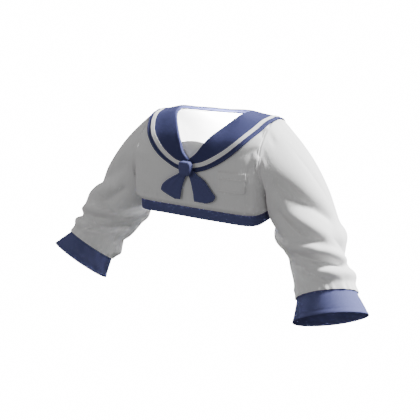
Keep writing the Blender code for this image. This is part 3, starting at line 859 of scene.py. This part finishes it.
def cuff(name, side):
    count = SLEEVE_COLUMNS
    rows = 26
    centre = ARM_STATIONS[-1, 1:4]
    axis = unit(CUFF_AXIS)
    top, front = ring_frame(axis[None])
    angle = TURN * np.arange(count) / count
    along = np.linspace(CUFF_ROWS[0, 0], CUFF_ROWS[-1, 0], rows)
    wide = smooth(along, CUFF_ROWS[:, 0], CUFF_ROWS[:, 1])[:, None]
    deep = smooth(along, CUFF_ROWS[:, 0], CUFF_ROWS[:, 2])[:, None]
    from_edge = along[-1] - along
    swell = turned_edge(from_edge, 0.0006, SEAM_FROM_EDGE)
    ripple = 0.0010 * np.cos(3 * angle + side) + 0.0007 * np.cos(5 * angle + 2 * side)
    lift = swell[:, None] + ripple[None] * ease((along + 0.005) / 0.05)[:, None]
    grid = (
        centre
        + axis * along[:, None, None]
        + ((wide + lift) * np.cos(angle))[..., None] * top[0]
        + ((deep + lift) * np.sin(angle))[..., None] * front[0]
    )
    seam_row = np.argmin(np.abs(from_edge - SEAM_FROM_EDGE))
    SEAMS[name.removesuffix("_cloth")] = [ring_seam(grid[seam_row] * np.array([side, 1, 1]))]
    round_to = np.arange(count + 1) * TURN * CUFF_MEAN_RADIUS / count
    flat = np.stack(np.broadcast_arrays(round_to[None, :], along[:, None]), -1)
    return shell(name, [(grid * np.array([side, 1, 1]), flat, True, side > 0)], RIB, navy_rib)


def hem_band():
    count, rows = 300, 16
    angle = TURN * np.arange(count) / count
    x, y = np.sin(angle), -np.cos(angle)
    z = np.linspace(HEM_LOW, HEM_TOP, rows)
    from_edge = z - HEM_LOW
    swell = turned_edge(from_edge, 0.0005, SEAM_FROM_EDGE - 0.001)
    size = np.abs(x / HEM_HALF_WIDTH) ** SQUARENESS + np.abs(y / HEM_HALF_DEPTH) ** SQUARENESS
    reach = size ** (-1 / SQUARENESS)
    ring = np.stack([x * reach, y * reach], 1)
    tangent = unit(np.roll(ring, -1, axis=0) - np.roll(ring, 1, axis=0))
    outward = np.stack([tangent[:, 1], -tangent[:, 0]], 1)
    steps = np.linalg.norm(np.diff(np.vstack([ring, ring[:1]]), axis=0), axis=1)
    length = np.concatenate([[0], np.cumsum(steps)])
    wave = 0.0005 * np.sin(length[:-1] / 0.021) + 0.0004 * np.sin(length[:-1] / 0.034 + 1)
    fade = ease((HEM_TOP - z) / 0.012)
    lift = swell[:, None] + wave[None] * fade[:, None]
    flat_ring = ring[None] + outward[None] * lift[..., None]
    grid = np.concatenate([flat_ring, np.broadcast_to(z[:, None, None], (rows, count, 1))], -1)
    flat = np.stack(np.broadcast_arrays(length[None, :], z[:, None]), -1)
    seam_row = np.argmin(np.abs(from_edge - SEAM_FROM_EDGE))
    out = np.hstack([np.vstack([outward, outward[:1]]), np.zeros((count + 1, 1))])
    SEAMS["hem_band"] = [(np.vstack([grid[seam_row], grid[seam_row, :1]]), out)]
    return shell("hem_band_cloth", [(grid, flat, True, False)], RIB, navy_rib)


# Collar

COLLAR_STEPS = 12
BORDER_ROWS = 6
FALL_ROWS = 18
TAPE_ROWS = 7
BAND_FROM = 0.8
BAND_WIDTH = 0.014
BAND_ROWS = 6
BAND_STEPS = 8
INSERT_ROWS = 24
INSERT_HALF_WIDTH = 0.060
INSERT_LOW = 0.33
INSERT_SIDE = 0.50
INSERT_RISE = 0.085


def inset(outline, distance):
    """An outline in (x, t), moved inwards by a distance, with mitred corners."""
    flat = outline * [1, BODY_RUN]
    padded = np.vstack([flat[1] * [-1, 1], flat, flat[-2] * [-1, 1]])
    along = unit(np.diff(padded, axis=0))
    normal = np.stack([-along[:, 1], along[:, 0]], 1)
    before, after = normal[:-1], normal[1:]
    moved = flat + distance * (before + after) / (1 + np.sum(before * after, axis=1, keepdims=True))
    moved[:, 0] = np.maximum(moved[:, 0], 0)
    return moved / [1, BODY_RUN]


def resample(outline, places):
    steps = np.hypot(np.diff(outline[:, 0]), np.diff(outline[:, 1]) * BODY_RUN)
    length = np.concatenate([[0], np.cumsum(steps)])
    return np.stack([np.interp(places * length[-1], length, outline[:, k]) for k in (0, 1)], 1)


def roll_line(distance):
    """The collar's fold line at the neck, a point for each row of its outer edge."""
    neck = inset(NECKLINE, distance)
    front = resample(neck[: NECK_SHOULDER + 1], np.linspace(0, 1, COLLAR_SHOULDER + 1))
    back = resample(neck[NECK_SHOULDER:], np.linspace(0, 1, len(COLLAR_EDGE) - COLLAR_SHOULDER))
    return np.vstack([front, back[1:]])


def finer(line, steps):
    """A smooth line with more points, as many steps for each of its own."""
    return curve(np.arange(0, (len(line) - 1) * steps + 1) / steps, line)


def fine_rows(line):
    """More points of a collar line, smooth but for the flap's corner."""
    first = finer(line[: COLLAR_CORNER + 1], COLLAR_STEPS)
    second = finer(line[COLLAR_CORNER:], COLLAR_STEPS)
    return np.vstack([first, second[1:]])


def collar_lift(share):
    return COLLAR_LOW + (COLLAR_HIGH - COLLAR_LOW) * share ** 2


ROLL = (
    # further_in, lift
    (0.0010, 0.0097),
    (0.0018, 0.0088),
    (0.0023, 0.0074),
    (0.0025, 0.0056),
    (0.0025, 0.0036),
    (0.0024, 0.0016),
)


def tape_lines():
    """The two lines on the collar that its tape lies between."""
    return fine_rows(inset(COLLAR_EDGE, BORDER)), fine_rows(inset(COLLAR_EDGE, BORDER + TAPE_WIDTH))


def collar_lines():
    """The collar's lines as (points in x and t, lift), from its edge to its roll."""
    edge = fine_rows(COLLAR_EDGE)
    border, inner = tape_lines()
    roll = fine_rows(roll_line(COLLAR_OVERHANG))
    lines = []
    for k in range(BORDER_ROWS):
        s = k / BORDER_ROWS
        lines.append(((1 - s) * edge + s * border, collar_lift(s / 6)))
    for k in range(BORDER_ROWS):
        s = k / BORDER_ROWS
        lines.append(((1 - s) * border + s * inner, collar_lift((1 + s) / 6)))
    for k in range(FALL_ROWS + 1):
        s = k / FALL_ROWS
        lines.append(((1 - s) * inner + s * roll, collar_lift((2 + 4 * s) / 6)))
    return lines


def collar_wave(x, t, side):
    """Slight unevenness of the collar as it lies."""
    return 0.0007 * np.sin(x / 0.017 * side + t * 9) + 0.0006 * np.sin(t * 21 + side * 2)


def placed(points, lift, side, wave=1.0):
    x, t = points[:, 0], points[:, 1]
    near = ease(np.minimum(x / 0.03, 1.0))
    height = lift + wave * near * collar_wave(x, t, side)
    return raised(x, t, height) * np.array([side, 1, 1])


def both_sides(lines, inside, wave=1.0):
    """Grids of both halves of a piece that lies on the body, from its lines."""
    grids = []
    for side in (1, -1):
        grid = np.array([placed(points, lift, side, wave) for points, lift in lines])
        flat = np.array([points * [side, BODY_RUN] for points, _ in lines])
        grids.append((grid, flat, False, (side < 0) != inside))
    return grids


def collar():
    lines = collar_lines()
    for further, lift in ROLL:
        lines.append((fine_rows(roll_line(COLLAR_OVERHANG + further)), lift))
    return shell("collar_cloth", both_sides(lines, False), RIB, navy_twill_painted_shade)


def tape_line(share):
    """A line along the tape, at a share of its width, with its lift."""
    border, inner = tape_lines()
    return (1 - share) * border + share * inner, collar_lift((1 + share) / 6) + SEAM_GAP + TAPE


def collar_tape():
    lines = [tape_line(share) for share in np.linspace(0, 1, TAPE_ROWS)]
    return shell("collar_tape_cloth", both_sides(lines, False), TAPE, white_tape)


def neck_band():
    neck = NECKLINE[NECKLINE[:, 1] > BAND_FROM]
    lines = []
    for width in np.linspace(0, BAND_WIDTH, BAND_ROWS):
        fine = finer(inset(neck, -width) if width else neck, BAND_STEPS)
        fine[:, 0] = np.maximum(fine[:, 0], 0)
        lines.append((fine, -BEHIND))
    return shell("neck_band_cloth", both_sides(lines, True, 0.0), KNIT, white_knit)


def chest_insert():
    x = np.linspace(0, 1, INSERT_ROWS) * INSERT_HALF_WIDTH
    top = INSERT_SIDE + INSERT_RISE * np.sqrt(np.clip(1 - (x / INSERT_HALF_WIDTH) ** 2, 0, 1))
    lines = []
    for share in np.linspace(0, 1, INSERT_ROWS):
        lines.append((np.stack([x, INSERT_LOW + (top - INSERT_LOW) * share], 1), -BEHIND))
    return shell("chest_insert_cloth", both_sides(lines, False, 0.0), KNIT, white_knit)


# Scarf

PLEAT = 0.0011
PLEATS = 2.6
TAIL_ROLL = {1: 0.0022, -1: 0.0011}
KNOT_HALF = (0.0205, 0.0104, 0.0200)


def power(v, e):
    return np.sign(v) * np.abs(v) ** e


def scarf_tail(name, side):
    rows, cols = 60, 30
    drop = TAIL_ROWS[0, 0] + (TAIL_ROWS[-1, 0] - TAIL_ROWS[0, 0]) * np.linspace(0, 1, rows)
    keys = -TAIL_ROWS[:, 0]
    column = (3, 4) if side > 0 else (1, 2)
    inner = smooth(-drop, keys, TAIL_ROWS[:, column[0]])[:, None]
    outer = smooth(-drop, keys, TAIL_ROWS[:, column[1]])[:, None]
    swell = smooth(-drop, keys, TAIL_ROWS[:, 5])[:, None]
    share = np.linspace(0, 1, cols)[None]
    x = inner + (outer - inner) * share
    down = np.linspace(0, 1, rows)[:, None]
    pleat = PLEAT * np.sin(share * PLEATS * TURN + 0.8 * side) * ease(down / 0.25) * (1 - 0.6 * down)
    roll = np.exp(-((share - 0.86) / 0.10) ** 2) * ease(down / 0.2) * TAIL_ROLL[side]
    y = TAIL_FACE - swell * np.sin(share * math.pi) - pleat - roll
    grid = np.stack(np.broadcast_arrays(side * x, y, drop[:, None]), -1)
    flat = np.stack(np.broadcast_arrays(share * 0.06 + 0 * drop[:, None], drop[:, None]), -1)
    return shell(name, [(grid, flat, False, side > 0)], RIB, scarf_twill)


def scarf_knot():
    around, rows = 72, 48
    a = TURN * np.arange(around) / around
    b = np.linspace(-math.pi / 2 * 0.985, math.pi / 2 * 0.985, rows)[:, None]
    wide = power(np.cos(b), 0.5)
    x = power(np.cos(a), 0.55)[None] * wide
    y = power(np.sin(a), 0.7)[None] * wide
    z = power(np.sin(b), 0.6) + 0 * x
    x = x * (0.93 + 0.09 * z)
    facing = ease(-y / 0.6)
    crease = np.exp(-((x - 0.50 + 0.18 * z ** 2) / 0.10) ** 2)
    crease = crease + 0.8 * np.exp(-((x + 0.42 - 0.15 * z) / 0.09) ** 2)
    band = np.exp(-((z - 0.60 - 0.15 * x) / 0.12) ** 2)
    y = y * (1 - facing * (0.10 * crease + 0.08 * band))
    depth = np.where(y > 0, KNOT_BACK, KNOT_HALF[1])
    grid = np.stack([x * KNOT_HALF[0], y * depth, z * KNOT_HALF[2]], -1) + np.array(KNOT_CENTRE)
    mesh = bpy.data.meshes.new("scarf_knot_cloth")
    verts = grid.reshape(-1, 3).tolist()
    verts += [grid[0].mean(0).tolist(), grid[-1].mean(0).tolist()]
    faces = []
    for r in range(rows - 1):
        for c in range(around):
            n = (c + 1) % around
            faces.append((r * around + c, r * around + n, (r + 1) * around + n, (r + 1) * around + c))
    for c in range(around):
        n = (c + 1) % around
        faces.append((n, c, rows * around))
        faces.append(((rows - 1) * around + c, (rows - 1) * around + n, rows * around + 1))
    mesh.from_pydata(verts, [], faces)
    layer = mesh.uv_layers.new(name="cloth")
    flat = np.array([(v[0], v[2]) for v in verts])
    index = np.zeros(len(mesh.loops), int)
    mesh.loops.foreach_get("vertex_index", index)
    layer.data.foreach_set("uv", flat[index].reshape(-1).astype(np.float32))
    mesh.shade_smooth()
    mesh.materials.append(scarf_twill)
    obj = linked("scarf_knot_cloth", mesh)
    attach(obj, "root")
    return obj


# Pocket

POCKET_INNER = 0.088
POCKET_OUTER = 0.169
POCKET_TOP = -0.131
POCKET_CLOTH = 0.0014
POCKETS = {
    # node: low, lift, corner
    "pocket_patch": (-0.183, 0.0022, 0.007),
    "pocket_flap": (-0.149, 0.0040, 0.004),
}
POCKET_GROOVE = 0.0009
POCKET_GROOVE_AT = 0.0034
POCKET_RIM = 0.0006


def pocket_piece(node):
    low, lift, corner = POCKETS[node]
    rows, cols = 30, 44
    z = np.linspace(low, POCKET_TOP, rows)
    t = np.interp(z, BODY_LEVELS[:, 1], BODY_LEVELS[:, 0])
    up = z - low
    rounded = corner - np.sqrt(np.clip(corner ** 2 - (corner - up) ** 2, 0, None))
    cut = np.where(up < corner, rounded, 0.0)
    inner, outer = POCKET_INNER + cut, POCKET_OUTER - cut
    x = inner[:, None] + (outer - inner)[:, None] * np.linspace(0, 1, cols)[None]
    t = np.broadcast_to(t[:, None], x.shape)
    edge = np.minimum(np.minimum(x - POCKET_INNER, POCKET_OUTER - x), up[:, None])
    height = lift - POCKET_GROOVE * np.exp(-((edge - POCKET_GROOVE_AT) / 0.0010) ** 2)
    height = height + POCKET_RIM * np.exp(-(edge / 0.0020) ** 2)
    grid = raised(x, t, height)
    grid[..., 1] -= folds_at(in_metres(FRONT_FOLDS), x, t * BODY_RUN)
    flat = np.stack([x, np.broadcast_to(z[:, None], x.shape)], -1)
    if node == "pocket_patch":
        line = np.vstack([grid[2:-8, 2][::-1], grid[2, 3:-3], grid[2:-8, -3]])
        SEAMS[node] = [(line, np.broadcast_to(np.array([0.0, -1.0, 0.0]), line.shape))]
    return shell(node + "_cloth", [(grid, flat, False, True)], POCKET_CLOTH, white_knit)


# Sewing

STITCH_ARC = 4  # steps along a stitch
STITCH_SIDES = 5
STITCHES = {
    # kind: length, gap, thick, proud
    "wide": (0.0026, 0.0011, 0.00022, 0.0003),
    "tape": (0.0022, 0.0009, 0.00016, 0.0002),
    "pocket": (0.0022, 0.0009, 0.00018, 0.0003),
    "armhole": (0.0026, 0.0011, 0.00018, 0.0003),
}
SEWN = {
    # node: piece, thread, kind
    "collar": ("collar_stitches", navy_thread, "wide"),
    "collar_tape": ("tape_stitches", white_thread, "tape"),
    "hem_band": ("hem_stitches", navy_thread, "wide"),
    "cuff_left": ("cuff_left_stitches", navy_thread, "wide"),
    "cuff_right": ("cuff_right_stitches", navy_thread, "wide"),
    "pocket_patch": ("pocket_stitches", white_thread, "pocket"),
    "front_panel": ("armhole_stitches", white_thread, "armhole"),
}
TAPE_STITCH = 0.12  # from the tape's edge, as a share of its width
EDGE_STITCH = 0.25  # from the collar's edge, as a share of its navy border


def stitches(name, lines, cloth, kind):
    """Short bowed threads along lines, each given as its points and the way out of the cloth."""
    length, gap, thick, proud = STITCHES[kind]
    points, faces = [], []
    for line, outward in lines:
        steps = np.linalg.norm(np.diff(line, axis=0), axis=1)
        at = np.concatenate([[0], np.cumsum(steps)])
        for start in np.arange(gap, at[-1] - length, length + gap):
            s = start + length * np.linspace(0, 1, STITCH_ARC + 1)
            middle = np.stack([np.interp(s, at, line[:, k]) for k in range(3)], 1)
            out = unit(np.stack([np.interp(s, at, outward[:, k]) for k in range(3)], 1))
            bow = np.sin(math.pi * np.linspace(0, 1, STITCH_ARC + 1))[:, None]
            middle = middle + out * (proud * bow - thick * (1 - bow))
            along = unit(middle[-1] - middle[0])
            across = unit(np.cross(along, out))
            base = len(points)
            for k in range(STITCH_ARC + 1):
                wide = thick * (0.6 + 0.4 * bow[k, 0])
                for side in range(STITCH_SIDES):
                    turn = TURN * side / STITCH_SIDES
                    aside = math.cos(turn) * across[k] + math.sin(turn) * out[k]
                    points.append(middle[k] + wide * aside)
            for k in range(STITCH_ARC):
                for side in range(STITCH_SIDES):
                    a = base + k * STITCH_SIDES + side
                    b = base + k * STITCH_SIDES + (side + 1) % STITCH_SIDES
                    faces.append((a, b, b + STITCH_SIDES, a + STITCH_SIDES))
            faces.append(tuple(range(base + STITCH_SIDES - 1, base - 1, -1)))
            last = base + STITCH_ARC * STITCH_SIDES
            faces.append(tuple(range(last, last + STITCH_SIDES)))
    mesh = bpy.data.meshes.new(name)
    mesh.from_pydata([tuple(p) for p in points], [], faces)
    mesh.shade_smooth()
    mesh.materials.append(cloth)
    obj = linked(name, mesh)
    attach(obj, "root")
    return obj


def collar_seams():
    """Finds the sewing lines near the collar's edge, and along both edges of its tape."""
    edge = fine_rows(COLLAR_EDGE)
    border, _ = tape_lines()
    near_edge = ((1 - EDGE_STITCH) * edge + EDGE_STITCH * border, collar_lift(0.04))
    found = []
    for points, lift in (near_edge, tape_line(TAPE_STITCH), tape_line(1 - TAPE_STITCH)):
        for side in (1, -1):
            out = skin_normal(points[:, 0], points[:, 1]) * np.array([side, 1, 1])
            found.append((placed(points, lift, side), out))
    SEAMS["collar"], SEAMS["collar_tape"] = found[:2], found[2:]


def ring_seam(grid):
    """A closed line round a sleeve or band, with its way out from the middle."""
    line = np.vstack([grid, grid[:1]])
    tangent = unit(np.roll(line, -1, axis=0) - np.roll(line, 1, axis=0))
    tangent[0] = tangent[-1] = unit(line[1] - line[-2])
    away = line - line.mean(0)
    return line, unit(away - tangent * np.sum(away * tangent, 1, keepdims=True))


def build():
    made = {}
    made["front_panel"] = panel("front_panel_cloth", True)
    made["back_panel"] = panel("back_panel_cloth", False)
    for side, word in ((1, "left"), (-1, "right")):
        made["sleeve_" + word] = sleeve(f"sleeve_{word}_cloth", side)
        made["cuff_" + word] = cuff(f"cuff_{word}_cloth", side)
        made["scarf_tail_" + word] = scarf_tail(f"scarf_tail_{word}_cloth", side)
    made["hem_band"] = hem_band()
    made["collar"] = collar()
    made["collar_tape"] = collar_tape()
    made["neck_band"] = neck_band()
    made["chest_insert"] = chest_insert()
    made["scarf_knot"] = scarf_knot()
    for node in POCKETS:
        made[node] = pocket_piece(node)
    for node, piece in made.items():
        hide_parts(node)
    collar_seams()
    for node, (name, cloth, kind) in SEWN.items():
        stitches(name, SEAMS[node], cloth, kind)


# Camera, floor and light

CAMERA_AT = Vector((0.8112, -1.4982, 0.2449))
AZIMUTH = math.radians(29.0)
ELEVATION = math.radians(17.55)
FRAME = 420.0  # the picture's width in pixels
FOCAL = 587.0  # in the same pixels
SENSOR = 36.0
FLOOR_Z = -1.35
FLOOR_SIZE = 12.0
BACKDROP = 16.0
AMBIENT = 0.27
FLOOR_GLOW = 0.24
NECK_LIGHT = ((0.0, -0.030, -0.060), (0.0, 0.10, -0.055), 0.10, 6.0)  # where, aim, size, power
SUNS = {
    # name: towards the light, strength, softness in degrees
    "key": ((0.60, 0.45, 0.66), 16.5, 12.0),
    "fill": ((-0.55, 0.25, 0.80), 0.4, 25.0),
    "front": ((-0.25, -0.90, 0.35), 0.45, 30.0),
}


def camera():
    right = Vector((math.cos(AZIMUTH), math.sin(AZIMUTH), 0))
    back = Vector((
        math.sin(AZIMUTH) * math.cos(ELEVATION),
        -math.cos(AZIMUTH) * math.cos(ELEVATION),
        math.sin(ELEVATION),
    ))
    up = back.cross(right)
    data = bpy.data.cameras.new("camera")
    data.sensor_fit = "HORIZONTAL"
    data.sensor_width = SENSOR
    data.lens = FOCAL * SENSOR / FRAME
    obj = linked("camera", data)
    turn = Matrix((right, up, back)).transposed().to_4x4()
    obj.matrix_world = Matrix.Translation(CAMERA_AT) @ turn
    bpy.context.scene.camera = obj


def glow(name, seen, cast):
    """A plain glowing face: bright to the camera, and dimmer as a source of light."""
    made, tree, shader = tree_of(name)
    path = tree.nodes.new("ShaderNodeLightPath")
    strength = calc(tree, "MULTIPLY", path.outputs["Is Camera Ray"], seen - cast)
    strength = calc(tree, "ADD", strength, cast)
    emission = tree.nodes.new("ShaderNodeEmission")
    emission.inputs[0].default_value = (1.0, 1.0, 1.0, 1)
    link(tree, strength, emission.inputs[1])
    link(tree, emission.outputs[0], tree.nodes["Material Output"].inputs[0])
    tree.nodes.remove(shader)
    return made


def floor():
    mesh = bpy.data.meshes.new("floor")
    corners = [(a * FLOOR_SIZE, b * FLOOR_SIZE, FLOOR_Z) for a, b in ((-1, -1), (1, -1), (1, 1), (-1, 1))]
    mesh.from_pydata(corners, [], [(0, 1, 2, 3)])
    mesh.materials.append(glow("pale_floor", BACKDROP, FLOOR_GLOW))
    linked("floor", mesh)


def sun(name, towards, strength, soft):
    data = bpy.data.lights.new(name, "SUN")
    data.energy = strength
    data.angle = math.radians(soft)
    linked(name, data).rotation_euler = Vector(towards).to_track_quat("Z", "Y").to_euler()


def light():
    world = bpy.data.worlds.new("studio")
    world.use_nodes = True
    tree = world.node_tree
    background = tree.nodes["Background"]
    background.inputs[0].default_value = (1.0, 1.0, 1.0, 1)
    path = tree.nodes.new("ShaderNodeLightPath")
    bright = calc(tree, "MULTIPLY", path.outputs["Is Camera Ray"], BACKDROP - AMBIENT)
    link(tree, calc(tree, "ADD", bright, AMBIENT), background.inputs[1])
    bpy.context.scene.world = world
    for name, (towards, strength, soft) in SUNS.items():
        sun(name, towards, strength, soft)
    where, aim, size, power = NECK_LIGHT
    data = bpy.data.lights.new("neck", "AREA")
    data.shape = "DISK"
    data.size = size
    data.energy = power
    obj = linked("neck", data)
    obj.location = where
    obj.rotation_euler = (Vector(aim) - Vector(where)).to_track_quat("-Z", "Y").to_euler()
    obj.visible_camera = False


build()
camera()
floor()
light()
bpy.context.view_layer.update()
